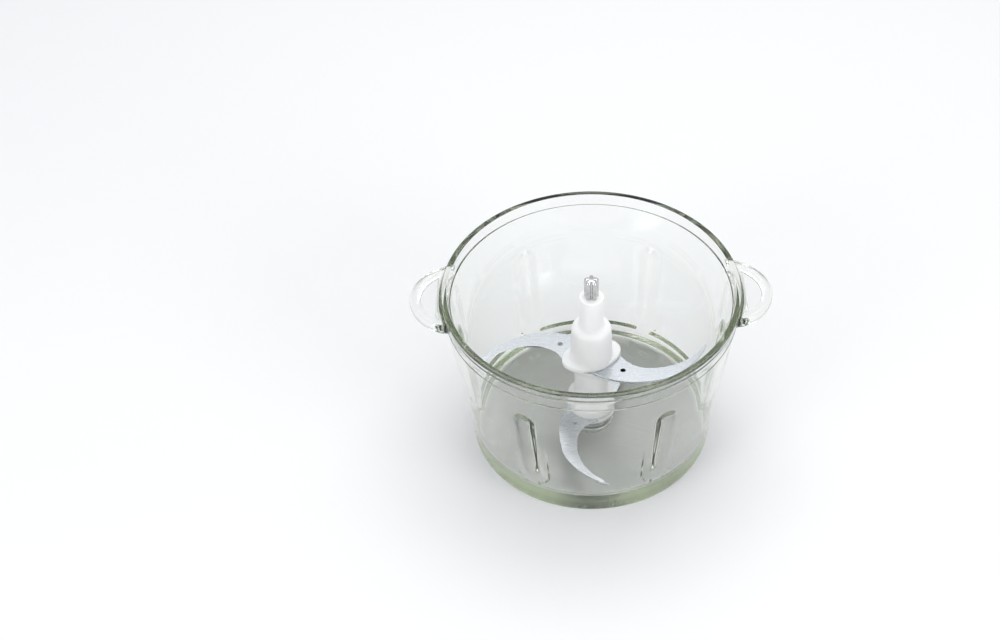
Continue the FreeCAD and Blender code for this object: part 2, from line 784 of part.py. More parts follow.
def hub_screw():
    head = cylinder("hub_screw_head", size("screw_head_radius"), screw_head_foot, web_foot)
    shank = cylinder("hub_screw_shank", size("screw_radius"), web_foot, web_foot + size("screw_length"))
    socket_top = screw_head_foot + size("screw_socket_depth")
    socket = hex_bar("hub_screw_socket", size("screw_socket"), screw_head_foot - PAST, socket_top)
    return cut("hub_screw", fuse("hub_screw_blank", [head, shank]), [socket])


def hub_seal_ring():
    seal = doc.addObject("Part::Torus", "hub_seal_ring")
    bind(seal, "Radius1", socket_radius - size("ring_section"))
    bind(seal, "Radius2", size("ring_section"))
    return place(seal, z=ring_height)


def ball_cage():
    """Cup pressed into the sleeve, with a lip that keeps the ball in when the carrier is lifted off."""
    seat = size("ball_radius") + size("ball_play")
    mouth = size("ball_radius") - size("cage_lip_overlap")
    lip_top = cage_foot + size("cage_lip")
    return turned("ball_cage", [
        (mouth, cage_foot),
        (sleeve_bore, cage_foot),
        (sleeve_bore, screw_head_foot),
        (seat, screw_head_foot),
        (seat, lip_top),
        (mouth, lip_top),
    ])


def thrust_ball():
    ball = doc.addObject("Part::Sphere", "thrust_ball")
    bind(ball, "Radius", size("ball_radius"))
    return place(ball, z=ball_centre)


# ------------------------------------------------------------------ the whole unit
rest_turn = size("blade_turn").value
stem_bore = size("pin_radius")
lower_bush_foot = carrier_bottom + size("lower_bush_lift")
upper_bush_top = size("pin_height") - size("upper_bush_drop")
nodes = [
    glass_bowl(),
    pivot_pin(),
    ring("pin_seal_inner", size("seal_radius"), stem_bore, boss_top, flange_foot),
    ring("pin_seal_outer", size("seal_radius"), stem_bore, outer_seal_foot, recess_top),
    ring("pin_washer", size("seal_radius"), stem_bore, washer_foot, outer_seal_foot),
    pin_nut(),
    base_plug(),
    s_blade("upper_blade", upper_seat, rest_turn),
    s_blade("lower_blade", lower_seat, rest_turn + 90.0, screw_holes=True),
    carrier_sleeve(rest_turn),
    lower_clamp_ring(rest_turn),
    clamp_screws(rest_turn),
    upper_hub(rest_turn),
    drive_spindle(rest_turn),
    hub_screw(),
    hub_seal_ring(),
    ring("upper_bush", sleeve_bore, bush_bore, upper_bush_top - size("bush_length"), upper_bush_top),
    ring("lower_bush", sleeve_bore, bush_bore, lower_bush_foot, lower_bush_foot + size("bush_length")),
    ball_cage(),
    thrust_ball(),
]
doc.recompute()

for thing in doc.Objects:
    if "Invalid" in thing.State or "Error" in thing.State:
        raise RuntimeError(f"{thing.Label} failed: {thing.State}")
os.makedirs("parts", exist_ok=True)
for node in nodes:
    shape = node.Shape
    if shape.isNull() or not shape.isValid():
        raise RuntimeError(f"{node.Label} has no valid shape")
    print(f"{node.Label}: {len(shape.Solids)} solid(s), {shape.Volume:.0f} mm3")
    shape.exportStep(f"parts/{node.Label}.step")
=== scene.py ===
import json
import math

import bmesh
import bpy
import numpy as np
from mathutils import Matrix, Vector


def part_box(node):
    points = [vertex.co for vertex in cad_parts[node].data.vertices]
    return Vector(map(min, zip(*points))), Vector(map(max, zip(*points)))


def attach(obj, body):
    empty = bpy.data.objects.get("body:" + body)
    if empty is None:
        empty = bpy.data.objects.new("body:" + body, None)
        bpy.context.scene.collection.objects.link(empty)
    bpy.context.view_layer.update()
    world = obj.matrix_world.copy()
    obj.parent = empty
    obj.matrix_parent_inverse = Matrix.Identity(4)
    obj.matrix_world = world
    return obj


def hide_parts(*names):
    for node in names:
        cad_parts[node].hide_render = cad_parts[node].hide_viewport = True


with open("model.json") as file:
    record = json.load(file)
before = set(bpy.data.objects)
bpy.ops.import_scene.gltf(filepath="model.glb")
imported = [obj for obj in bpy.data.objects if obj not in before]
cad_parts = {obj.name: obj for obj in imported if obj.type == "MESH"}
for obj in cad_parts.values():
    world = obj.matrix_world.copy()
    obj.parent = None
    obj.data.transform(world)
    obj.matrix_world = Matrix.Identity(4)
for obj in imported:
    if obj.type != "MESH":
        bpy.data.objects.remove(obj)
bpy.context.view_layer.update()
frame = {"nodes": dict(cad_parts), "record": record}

# The glass bowl unit of a meat grinder. Shapes are worked out in millimetres and scaled once, in add_mesh.
MM = 0.001

bowl_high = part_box("glass_bowl")[1]
hub_low, hub_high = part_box("upper_hub")
sleeve_low, sleeve_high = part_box("carrier_sleeve")
tip_low, tip_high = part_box("drive_spindle")
pin_low, pin_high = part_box("pivot_pin")
upper_low, upper_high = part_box("upper_blade")
lower_low, lower_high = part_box("lower_blade")

HEIGHT = bowl_high.z / MM
EAR_REACH = bowl_high.x / MM
RIM_RADIUS = 90.0
BASE_RADIUS = 76.0
FOOT_HEIGHT = 9.0
FLARE = (RIM_RADIUS - BASE_RADIUS) / (HEIGHT - FOOT_HEIGHT)
TURN = -1.8  # degrees, how far the blades and the drive tip stand turned at rest


# ---------------------------------------------------------------- mesh helpers
def add_mesh(name, points, faces, materials, body, nodes, sharp=40.0):
    """Makes a piece from millimetre points, smooth but for edges sharper than so many degrees."""
    mesh = bpy.data.meshes.new(name)
    mesh.from_pydata([tuple(p) for p in np.asarray(points) * MM], [], faces)
    work = bmesh.new()
    work.from_mesh(mesh)
    bmesh.ops.recalc_face_normals(work, faces=work.faces)
    work.to_mesh(mesh)
    work.free()
    for material in materials:
        mesh.materials.append(material)
    mesh.shade_smooth()
    mesh.set_sharp_from_angle(angle=math.radians(sharp))
    piece = bpy.data.objects.new(name, mesh)
    bpy.context.scene.collection.objects.link(piece)
    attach(piece, body)
    if nodes:
        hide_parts(*nodes)
    return piece


def rings_to_faces(count, around, loop):
    """Quads between neighbouring rings of points; loop joins the last ring to the first."""
    faces = []
    for i in range(count if loop else count - 1):
        here, there = i * around, ((i + 1) % count) * around
        for j in range(around):
            k = (j + 1) % around
            faces.append((here + j, here + k, there + k, there + j))
    return faces


def add_turned(name, radii, heights, materials, body, nodes, loop, turn=0.0, sharp=40.0):
    """A piece from rings about Z. Each ring has its radius at every angle; open ends close to a point."""
    count, around = radii.shape
    angle = np.linspace(0, 2 * np.pi, around, endpoint=False) + math.radians(turn)
    points = np.stack([radii * np.cos(angle), radii * np.sin(angle), heights], axis=-1).reshape(-1, 3)
    faces = rings_to_faces(count, around, loop)
    if not loop:
        low, high = len(points), len(points) + 1
        points = np.vstack([points, [0, 0, heights[0].mean()], [0, 0, heights[-1].mean()]])
        last = (count - 1) * around
        faces += [(low, (j + 1) % around, j) for j in range(around)]
        faces += [(high, last + j, last + (j + 1) % around) for j in range(around)]
    return add_mesh(name, points, faces, materials, body, nodes, sharp)


def rounded(corners, steps=5):
    """A profile through (radius, height, round) corners, with an arc at each corner that has a round."""
    line = []
    count = len(corners)
    for i, (r, z, fillet) in enumerate(corners):
        here = np.array([r, z], float)
        back = np.array(corners[i - 1][:2], float) - here
        ahead = np.array(corners[(i + 1) % count][:2], float) - here
        if fillet <= 0 or i in (0, count - 1) and corners[0][0] == 0:
            line.append(here)
            continue
        back /= np.linalg.norm(back)
        ahead /= np.linalg.norm(ahead)
        half = math.acos(float(np.clip(back @ ahead, -1, 1))) / 2
        inset = fillet / math.tan(half)
        middle = (back + ahead) / np.linalg.norm(back + ahead)
        centre = here + middle * fillet / math.sin(half)
        start, end = here + back * inset - centre, here + ahead * inset - centre
        sweep = math.atan2(start[0] * end[1] - start[1] * end[0], float(start @ end))
        for step in range(steps + 1):
            a = sweep * step / steps
            turn = np.array([[math.cos(a), -math.sin(a)], [math.sin(a), math.cos(a)]])
            line.append(centre + turn @ start)
    return np.array(line)


def add_lathe(name, corners, material, body, nodes, loop=False, around=96, steps=5, sharp=40.0):
    """A plain turned piece from rounded corners. Open profiles start and end on the axis."""
    line = rounded(corners, steps)
    if not loop:
        line = line[1:-1]
    radii = np.repeat(line[:, :1], around, axis=1)
    heights = np.repeat(line[:, 1:], around, axis=1)
    return add_turned(name, radii, heights, [material], body, nodes, loop, sharp=sharp)


def smooth_min(a, b, softness):
    """The lower of two heights with the crease between them rounded."""
    gap = np.clip((a - b) / softness, -40, 40)
    return b - softness * np.logaddexp(0, -gap)


def smooth_step(x):
    x = np.clip(x, 0, 1)
    return x * x * (3 - 2 * x)


# ---------------------------------------------------------------- materials
def new_material(name):
    material = bpy.data.materials.new(name)
    material.use_nodes = True
    tree = material.node_tree
    return material, tree, tree.nodes["Principled BSDF"]


def add_noise(tree, scale, detail=3.0, stretch=(1, 1, 1)):
    """Noise in the object's own metres, squeezed along its axes."""
    place = tree.nodes.new("ShaderNodeTexCoord")
    mapping = tree.nodes.new("ShaderNodeMapping")
    mapping.inputs["Scale"].default_value = stretch
    noise = tree.nodes.new("ShaderNodeTexNoise")
    noise.inputs["Scale"].default_value = scale
    noise.inputs["Detail"].default_value = detail
    tree.links.new(place.outputs["Object"], mapping.inputs["Vector"])
    tree.links.new(mapping.outputs["Vector"], noise.inputs["Vector"])
    return noise


def ramp_between(tree, source, low, high, full=1.0):
    """Maps a value from 0 to full onto a range."""
    spread = tree.nodes.new("ShaderNodeMapRange")
    spread.inputs["From Max"].default_value = full
    spread.inputs["To Min"].default_value = low
    spread.inputs["To Max"].default_value = high
    tree.links.new(source, spread.inputs["Value"])
    return spread.outputs["Result"]


def add_bump(tree, shader, source, strength, distance):
    """Adds relief on top of what the shader already has."""
    bump = tree.nodes.new("ShaderNodeBump")
    bump.inputs["Strength"].default_value = strength
    bump.inputs["Distance"].default_value = distance
    normal = shader.inputs["Normal"]
    if normal.is_linked:
        tree.links.new(normal.links[0].from_socket, bump.inputs["Normal"])
    tree.links.new(source, bump.inputs["Height"])
    tree.links.new(bump.outputs["Normal"], normal)


def glass(name):
    """Clear pressed glass, green where light goes a long way through it, and stippled under its base."""
    material, tree, shader = new_material(name)
    shader.inputs["Base Color"].default_value = (1, 1, 1, 1)
    shader.inputs["Roughness"].default_value = 0.0
    shader.inputs["IOR"].default_value = 1.5
    shader.inputs["Transmission Weight"].default_value = 1.0
    depth = tree.nodes.new("ShaderNodeVolumeAbsorption")
    depth.inputs["Color"].default_value = (0.615, 0.67, 0.52, 1)
    depth.inputs["Density"].default_value = 16.0
    tree.links.new(depth.outputs["Volume"], tree.nodes["Material Output"].inputs["Volume"])
    waves = add_noise(tree, scale=38.0, detail=1.0)
    add_bump(tree, shader, waves.outputs["Fac"], strength=0.05, distance=0.0006)
    place = tree.nodes.new("ShaderNodeTexCoord")
    split = tree.nodes.new("ShaderNodeSeparateXYZ")
    tree.links.new(place.outputs["Object"], split.inputs["Vector"])
    under = ramp_between(tree, split.outputs["Z"], low=1.0, high=0.0, full=STIPPLE_HEIGHT)
    dots = tree.nodes.new("ShaderNodeTexVoronoi")
    dots.inputs["Scale"].default_value = 620.0
    tree.links.new(place.outputs["Object"], dots.inputs["Vector"])
    pimples = tree.nodes.new("ShaderNodeMath")
    pimples.operation = "MULTIPLY"
    tree.links.new(dots.outputs["Distance"], pimples.inputs[0])
    tree.links.new(under, pimples.inputs[1])
    add_bump(tree, shader, pimples.outputs["Value"], strength=0.35, distance=0.0003)
    return material


def plastic(name, colour, roughness):
    """Moulded plastic with a fine satin grain."""
    material, tree, shader = new_material(name)
    shader.inputs["Base Color"].default_value = (*colour, 1)
    shader.inputs["Subsurface Weight"].default_value = 0.12
    shader.inputs["Subsurface Radius"].default_value = (1.0, 0.9, 0.8)
    shader.inputs["Subsurface Scale"].default_value = 0.002
    grain = add_noise(tree, scale=1800.0, detail=2.0)
    cloud = add_noise(tree, scale=90.0, detail=2.0)
    spread = ramp_between(tree, cloud.outputs["Fac"], low=roughness - 0.05, high=roughness + 0.07)
    tree.links.new(spread, shader.inputs["Roughness"])
    add_bump(tree, shader, grain.outputs["Fac"], strength=0.08, distance=0.0002)
    return material


def steel(name, colour, low, high, stretch, scale, strength):
    """Stainless steel with the fine lines of its finish."""
    material, tree, shader = new_material(name)
    shader.inputs["Base Color"].default_value = (*colour, 1)
    shader.inputs["Metallic"].default_value = 1.0
    lines = add_noise(tree, scale, detail=4.0, stretch=stretch)
    tree.links.new(ramp_between(tree, lines.outputs["Fac"], low, high), shader.inputs["Roughness"])
    add_bump(tree, shader, lines.outputs["Fac"], strength, distance=0.0001)
    return material


STIPPLE_HEIGHT = 0.0006  # metres above the base where the stipple has faded out
ACROSS_LEAF, ROUND_AXIS = (1, 14, 1), (1, 1, 18)  # the squeeze that draws noise out into fine lines
clear_glass = glass("clear_glass_look")
white_plastic = plastic("white_plastic_look", (0.93, 0.93, 0.93), 0.34)
bearing_plastic = plastic("bearing_plastic_look", (0.78, 0.76, 0.7), 0.42)
silicone = plastic("silicone_look", (0.62, 0.65, 0.66), 0.5)
blade_steel = steel("blade_steel_look", (0.6, 0.63, 0.66), low=0.2, high=0.34, stretch=ACROSS_LEAF,
                    scale=260.0, strength=0.15)
turned_steel = steel("turned_steel_look", (0.6, 0.6, 0.6), low=0.12, high=0.24, stretch=ROUND_AXIS,
                     scale=420.0, strength=0.12)
plain_looks = {
    "clear_glass": clear_glass,
    "white_plastic": white_plastic,
    "blade_steel": blade_steel,
    "polished_steel": turned_steel,
    "silicone": silicone,
    "bearing_plastic": bearing_plastic,
}

# ---------------------------------------------------------------- glass bowl
AROUND = 600
WALL, RIM_WALL, LEDGE_DEPTH = 4.6, 3.8, 7.0
SEAM_WIDTH, SEAM_HEIGHT = 1.0, 0.25
FLOOR, FLOOR_ROUND = 12.0, 6.0
BOSS_RADIUS, BOSS_TOP = 13.0, 12.5
RECESS_RADIUS, RECESS_TOP = 13.0, 7.0
STEM_HOLE = 4.4
BASE_ROUND = 4.0
RIBS, RIB_RADIUS = 6, 12.0
RIB_LOW, RIB_HIGH = FLOOR + 18.0, HEIGHT - 40.5
RIB_LOW_DEPTH, RIB_HIGH_DEPTH = 1.3, 2.3
RIB_BLEND = 0.25
HOLE_EDGE, RECESS_EDGE = 0.3, 0.5
RIM_OUTER_ROUND, RIM_INNER_ROUND, LEDGE_ROUND = 0.8, 0.5, 0.35
BELOW_RIM = HEIGHT - 1.9
EAR_RADIUS = 27.8
EAR_CENTRE = EAR_REACH - EAR_RADIUS
EAR_LOW, EAR_HIGH, EAR_EDGE = HEIGHT - 11.0, HEIGHT - 4.0, 3.0
EAR_LOW_FILLET, EAR_HIGH_FILLET = 1.5, 1.8
DISH_RADIUS, DISH_START, DISH_DEPTH, DISH_SOFT = 23.1, 89.5, 1.2, 2.0
EAR_BLEND = 5.0  # how far out of the wall an ear has its full section
EAR_CROWD = 1.3  # above 1 it crowds an ear's rings towards the wall


def wall_radius(height):
    return BASE_RADIUS + (height - FOOT_HEIGHT) * FLARE


def rib_surface(angle, height):
    """Radius of the ribs' own round face, out of the way where there is no rib."""
    spacing = 2 * np.pi / RIBS
    aside = (angle + spacing / 2) % spacing - spacing / 2
    along = min(max(height, RIB_LOW), RIB_HIGH)
    rise = (along - RIB_LOW) / (RIB_HIGH - RIB_LOW)
    depth = RIB_LOW_DEPTH + (RIB_HIGH_DEPTH - RIB_LOW_DEPTH) * rise
    axis = wall_radius(along) - WALL - depth + RIB_RADIUS
    past_end = height - along
    across = wall_radius(height) * np.sin(aside)
    room = RIB_RADIUS**2 - across**2 - past_end**2
    return axis - np.sqrt(np.maximum(room, 0))


def bowl_rings():
    """Rings of the bowl's closed section: under the base, up the outside, over the rim, down the inside."""
    angle = np.linspace(0, 2 * np.pi, AROUND, endpoint=False)
    radii, heights = [], []

    def add(radius, height):
        radii.append(np.broadcast_to(np.asarray(radius, float), angle.shape).copy())
        heights.append(np.broadcast_to(np.asarray(height, float), angle.shape).copy())

    def add_line(corners, steps=4):
        for radius, height in rounded([(0, corners[0][1], 0), *corners, (0, corners[-1][1], 0)], steps)[1:-1]:
            add(radius, height)

    add_line([(STEM_HOLE, RECESS_TOP, HOLE_EDGE), (RECESS_RADIUS, RECESS_TOP, RECESS_EDGE),
              (RECESS_RADIUS, 0, RECESS_EDGE)], 3)
    for radius in np.linspace(RECESS_RADIUS + 3, BASE_RADIUS - BASE_ROUND - 1, 14):
        add(radius, 0)
    for step in np.linspace(0, np.pi / 2, 8):
        add(BASE_RADIUS - BASE_ROUND * (1 - np.sin(step)), BASE_ROUND * (1 - np.cos(step)))
    for height in (5.0, 6.0, 7.0, 8.0):
        add(BASE_RADIUS, height)
    seam = EAR_LOW - EAR_LOW_FILLET - SEAM_WIDTH
    front = smooth_step(0.5 - 2.0 * np.sin(angle))  # 1 round the front, 0 round the back
    for height in np.linspace(FOOT_HEIGHT, seam - 0.5, 24):
        add(wall_radius(height), height)
    for step in np.linspace(0, np.pi, 7):
        height = seam + SEAM_WIDTH * step / np.pi
        add(wall_radius(height) + SEAM_HEIGHT * front * math.sin(step), height)
    for radius, height in ear_rings(angle):
        add(radius, height)
    outer, inner = wall_radius(HEIGHT), wall_radius(HEIGHT) - RIM_WALL
    add_line([(wall_radius(BELOW_RIM), BELOW_RIM, 0), (outer, HEIGHT, RIM_OUTER_ROUND),
              (inner, HEIGHT, RIM_INNER_ROUND), (wall_radius(BELOW_RIM) - RIM_WALL, BELOW_RIM, 0)], 6)
    ledge = HEIGHT - LEDGE_DEPTH
    for height in np.linspace(HEIGHT - 2.5, ledge + 1.0, 4):
        add(wall_radius(height) - RIM_WALL, height)
    ledge_outer, ledge_inner = wall_radius(ledge) - RIM_WALL, wall_radius(ledge) - WALL
    add_line([(ledge_outer, ledge + LEDGE_ROUND * 2, 0), (ledge_outer, ledge, LEDGE_ROUND),
              (ledge_inner, ledge, LEDGE_ROUND), (ledge_inner, ledge - LEDGE_ROUND * 2, 0)], 5)
    floor_edge = FLOOR + FLOOR_ROUND
    above, below = RIB_HIGH + 10.0, RIB_LOW - 8.0
    heights_inside = np.concatenate([
        np.arange(ledge - 3.0, above, -3.0),
        np.arange(above, RIB_HIGH - 2.0, -0.7),
        np.arange(RIB_HIGH - 2.0, RIB_LOW + 2.0, -2.0),
        np.arange(RIB_LOW + 2.0, below, -0.7),
        np.arange(below, floor_edge, -1.5),
    ])
    for height in heights_inside:
        plain = np.full_like(angle, wall_radius(height) - WALL)
        add(smooth_min(plain, rib_surface(angle, height), RIB_BLEND), height)
    corner = wall_radius(floor_edge) - WALL
    for step in np.linspace(0, np.pi / 2, 9):
        add(corner - FLOOR_ROUND * (1 - np.cos(step)), floor_edge - FLOOR_ROUND * np.sin(step))
    for radius in np.linspace(corner - FLOOR_ROUND - 4, BOSS_RADIUS + 3, 12):
        add(radius, FLOOR)
    add_line([(BOSS_RADIUS + HOLE_EDGE, FLOOR, 0), (BOSS_RADIUS, FLOOR + HOLE_EDGE, 0),
              (BOSS_RADIUS, BOSS_TOP, RECESS_EDGE), (STEM_HOLE, BOSS_TOP, HOLE_EDGE)], 3)
    return np.array(radii), np.array(heights)


def ear_rings(angle):
    """Rings from under the ears to over them; away from the ears they run straight up the wall."""
    sideways = np.abs(np.sin(angle))
    reach = EAR_CENTRE * np.abs(np.cos(angle))
    room = EAR_RADIUS**2 - (EAR_CENTRE * sideways) ** 2
    middle = (EAR_LOW + EAR_HIGH) / 2
    out = np.where(room > 0, reach + np.sqrt(np.maximum(room, 0)) - wall_radius(middle), 0)
    out = np.maximum(out, 0)
    share = smooth_step(out / EAR_BLEND)
    edge = np.minimum(EAR_EDGE, out * 0.9)
    low, high = EAR_LOW - EAR_LOW_FILLET, EAR_HIGH + EAR_HIGH_FILLET
    face_steps, edge_steps = 18, 12
    total = face_steps * 2 + edge_steps
    made = []
    for k in range(total + 1):
        plain_height = low + (high - low) * k / total
        plain_radius = wall_radius(plain_height)
        if k <= face_steps or k >= total - face_steps:
            upper = k > face_steps
            t = (total - k if upper else k) / face_steps
            fillet = EAR_HIGH_FILLET if upper else EAR_LOW_FILLET
            start = wall_radius(high if upper else low)
            radius = start + (wall_radius(middle) + out - edge - start) * t**EAR_CROWD
            gone = np.clip((radius - start) / (fillet * 1.5), 0, 1)
            sink = fillet * (1 - gone) ** 2
            x, y = radius * np.abs(np.cos(angle)), radius * np.sin(angle)
            inside = np.minimum(DISH_RADIUS - np.hypot(x - EAR_CENTRE, y), (x - DISH_START) * 0.5)
            dish = DISH_DEPTH * smooth_step(inside / DISH_SOFT)
            height = EAR_HIGH + sink - dish if upper else EAR_LOW - sink + dish
        else:
            turn = np.pi * (k - face_steps) / edge_steps - np.pi / 2
            radius = wall_radius(middle) + out - edge + edge * np.cos(turn)
            height = middle + (EAR_HIGH - EAR_LOW) / 2 * np.sin(turn)
        radius = plain_radius + (radius - plain_radius) * share
        height = plain_height + (height - plain_height) * share
        made.append((radius, height))
    return made


radii, heights = bowl_rings()
bowl = add_turned("bowl_glass", radii, heights, [clear_glass], "bowl", ["glass_bowl"], True, sharp=60.0)

# ---------------------------------------------------------------- blade carrier
HUB_AROUND = 160
FLANGE_LONG, FLANGE_SHORT, FLANGE_TILT, FLANGE_THICK = 19.3, 12.6, 23.0, 3.0
FLANGE_ROUND = 0.9
BELL_LOW, BELL_TOP, BELL_ROUND = 13.2, 12.1, 4.4
NECK_HEIGHT, NECK, SOCKET, SOCKET_DEPTH = 23.2, 7.5, 7.6, 31.0
BELL_HEIGHT = hub_high.z / MM - NECK_HEIGHT


def hub():
    foot, top = hub_low.z / MM, hub_high.z / MM
    angle = np.linspace(0, 2 * np.pi, HUB_AROUND, endpoint=False)
    tilt = angle - math.radians(FLANGE_TILT)
    flange = FLANGE_LONG * FLANGE_SHORT / np.hypot(FLANGE_SHORT * np.cos(tilt), FLANGE_LONG * np.sin(tilt))
    crown = foot + FLANGE_THICK
    radii, heights = [], []

    def add(radius, height):
        radii.append(np.broadcast_to(np.asarray(radius, float), angle.shape).copy())
        heights.append(np.full(angle.shape, float(height)))

    add(SOCKET, top - SOCKET_DEPTH)
    add(SOCKET, foot + 0.3)
    add(SOCKET + 0.3, foot)
    flange = np.maximum(flange, BELL_LOW + 0.02)
    add(flange - 0.5, foot)
    add(flange - 0.15, foot + 0.15)
    add(flange, foot + 0.5)
    add(flange, crown - 1.1)
    for step in np.linspace(0.15, np.pi / 2, 5):
        edge = flange - FLANGE_ROUND * (1 - np.cos(step))
        add(np.maximum(edge, BELL_LOW + 0.01), crown - FLANGE_ROUND + FLANGE_ROUND * np.sin(step))
    for out, rise in ((1.0, 0.0), (0.55, 0.08), (0.2, 0.3), (0.0, 0.9)):
        add(np.minimum(np.maximum(flange - 0.95, BELL_LOW), BELL_LOW + out), crown + rise)
    side = rounded([(0, crown, 0), (BELL_LOW, crown + 1.0, 0), (BELL_TOP, BELL_HEIGHT, BELL_ROUND),
                    (NECK, BELL_HEIGHT, 1.0), (NECK, top, 0.6), (0, top, 0)], 8)
    for radius, height in side[1:-1]:
        add(radius, height)
    radii, heights = np.array(radii), np.array(heights)
    return add_turned("blade_hub", radii, heights, [white_plastic], "carrier", ["upper_hub"], False)


SLEEVE_BORE, SCREW_HOLE, SLEEVE_WEB = 5.25, 2.6, 3.5
SLEEVE_FOOT, SKIRT, SLEEVE, SEAT = 8.4, 15.0, 10.7, 13.4
SKIRT_HEIGHT, SKIRT_CONE, SEAT_HEIGHT, SEAT_LIP = 5.5, 4.0, 6.5, 1.2


def sleeve():
    foot, top = sleeve_low.z / MM, sleeve_high.z / MM
    shoulder, seat = lower_high.z / MM, upper_low.z / MM
    skirt_top = shoulder + SKIRT_HEIGHT
    corners = [
        (SLEEVE_BORE, foot, 0.2),
        (SLEEVE_FOOT, foot, 0.3),
        (SLEEVE_FOOT, shoulder, 0),
        (SKIRT, shoulder, 0.4),
        (SKIRT, skirt_top, 1.2),
        (SLEEVE, skirt_top + SKIRT_CONE, 1.5),
        (SLEEVE, seat - SEAT_HEIGHT, 2.0),
        (SEAT, seat - SEAT_LIP, 0.6),
        (SEAT, seat, 0.3),
        (NECK, seat, 0),
        (NECK, top, 0.5),
        (SCREW_HOLE, top, 0),
        (SCREW_HOLE, top - SLEEVE_WEB, 0),
        (SLEEVE_BORE, top - SLEEVE_WEB, 0),
    ]
    nodes = ["carrier_sleeve"]
    return add_lathe("blade_sleeve", corners, white_plastic, "carrier", nodes, loop=True, around=128)


LOBES, LOBE_CIRCLE, LOBE_RADIUS, CORE_RADIUS, LOBE_BLEND = 5, 3.05, 1.5, 3.1, 0.08
SHANK_RADIUS = 3.9
TAPER = 1.1


def drive_tip():
    """Lobed drive tip with a tapered end, and its round shank down in the neck."""
    foot, top = hub_high.z / MM, tip_high.z / MM
    around = 240
    angle = np.linspace(0, 2 * np.pi, around, endpoint=False)
    spacing = 2 * np.pi / LOBES
    aside = (angle - np.pi / 2 + spacing / 2) % spacing - spacing / 2
    room = LOBE_RADIUS**2 - (LOBE_CIRCLE * np.sin(aside)) ** 2
    lobes = LOBE_CIRCLE * np.cos(aside) + np.sqrt(np.maximum(room, 0))
    outline = -smooth_min(-lobes, np.full_like(angle, -CORE_RADIUS), LOBE_BLEND)
    shank = np.full(around, SHANK_RADIUS)
    radii = [shank, shank]
    heights = [np.full(around, tip_low.z / MM), np.full(around, foot - 0.4)]
    for inset, height in ((0.15, foot + 0.05), (0, foot + 0.4), (0, top - TAPER - 0.2), (0.08, top - TAPER),
                          (0.55, top - 0.55), (0.95, top - 0.12), (1.3, top)):
        radii.append(outline - inset)
        heights.append(np.full(around, float(height)))
    return add_turned("drive_tip", np.array(radii), np.array(heights), [turned_steel], "carrier",
                      ["drive_spindle"], False, turn=TURN, sharp=35.0)


PIN_RADIUS, PIN_FLANGE, PIN_FLANGE_HEIGHT, SEAL_HEIGHT = 4.0, 9.0, 2.0, 1.0


def pin():
    foot, top = pin_low.z / MM, pin_high.z / MM
    flange_foot = BOSS_TOP + SEAL_HEIGHT
    flange_top = flange_foot + PIN_FLANGE_HEIGHT
    corners = [
        (0, foot, 0),
        (PIN_RADIUS, foot, 0.5),
        (PIN_RADIUS, flange_foot, 0),
        (PIN_FLANGE, flange_foot, 0.2),
        (PIN_FLANGE, flange_top, 0.7),
        (PIN_RADIUS, flange_top, 0.5),
        (PIN_RADIUS, top, 0.8),
        (0, top, 0),
    ]
    return add_lathe("pivot_steel_pin", corners, turned_steel, "bowl", ["pivot_pin"])


# ---------------------------------------------------------------- blades
BACK_CENTRE, BACK_RADIUS = (-27.0, -26.6), 48.2
EDGE_X, EDGE_Y, EDGE_RADIUS, ROOT_RADIUS, ROOT_END = -36.1, 9.5, 41.0, 20.0, -4.5
BLADE_HUB = 13.4
LEAF_REACH = 72.95
HOLE_RADIUS, HOLE_DISTANCE, HOLE_ANGLE = 1.6, 22.7, 149.6
SQUARE_HALF = 7.6
TIP_CLEARANCE = 2.35
BLADE_EDGE_ROUND = 0.12
GROUND_WIDTH, GROUND_NEAR = 2.6, 0.3
GROUND_START, GROUND_RISE, GROUND_END, GROUND_FALL = 17.0, 6.0, 71.0, 8.0


def on_circle(radius, turned):
    return radius * np.array([math.cos(turned), math.sin(turned)])


def circles_cross(centre_a, radius_a, centre_b, radius_b, left):
    """The crossing of two circles to the left or right of the line from a to b."""
    a, b = np.array(centre_a, float), np.array(centre_b, float)
    gap = np.linalg.norm(b - a)
    along = (radius_a**2 - radius_b**2 + gap**2) / (2 * gap)
    off = math.sqrt(radius_a**2 - along**2)
    ahead = (b - a) / gap
    aside = np.array([-ahead[1], ahead[0]]) * (1 if left else -1)
    return a + ahead * along + aside * off


def arc(centre, start, end, clockwise, steps):
    """Points on a circle about the centre from start to end, the end left out."""
    centre = np.array(centre, float)
    a = math.atan2(*(start - centre)[::-1])
    b = math.atan2(*(end - centre)[::-1])
    if clockwise and b > a:
        b -= 2 * math.pi
    if not clockwise and b < a:
        b += 2 * math.pi
    radius = np.linalg.norm(start - centre)
    turns = np.linspace(a, b, steps, endpoint=False)
    return [centre + radius * np.array([math.cos(t), math.sin(t)]) for t in turns]


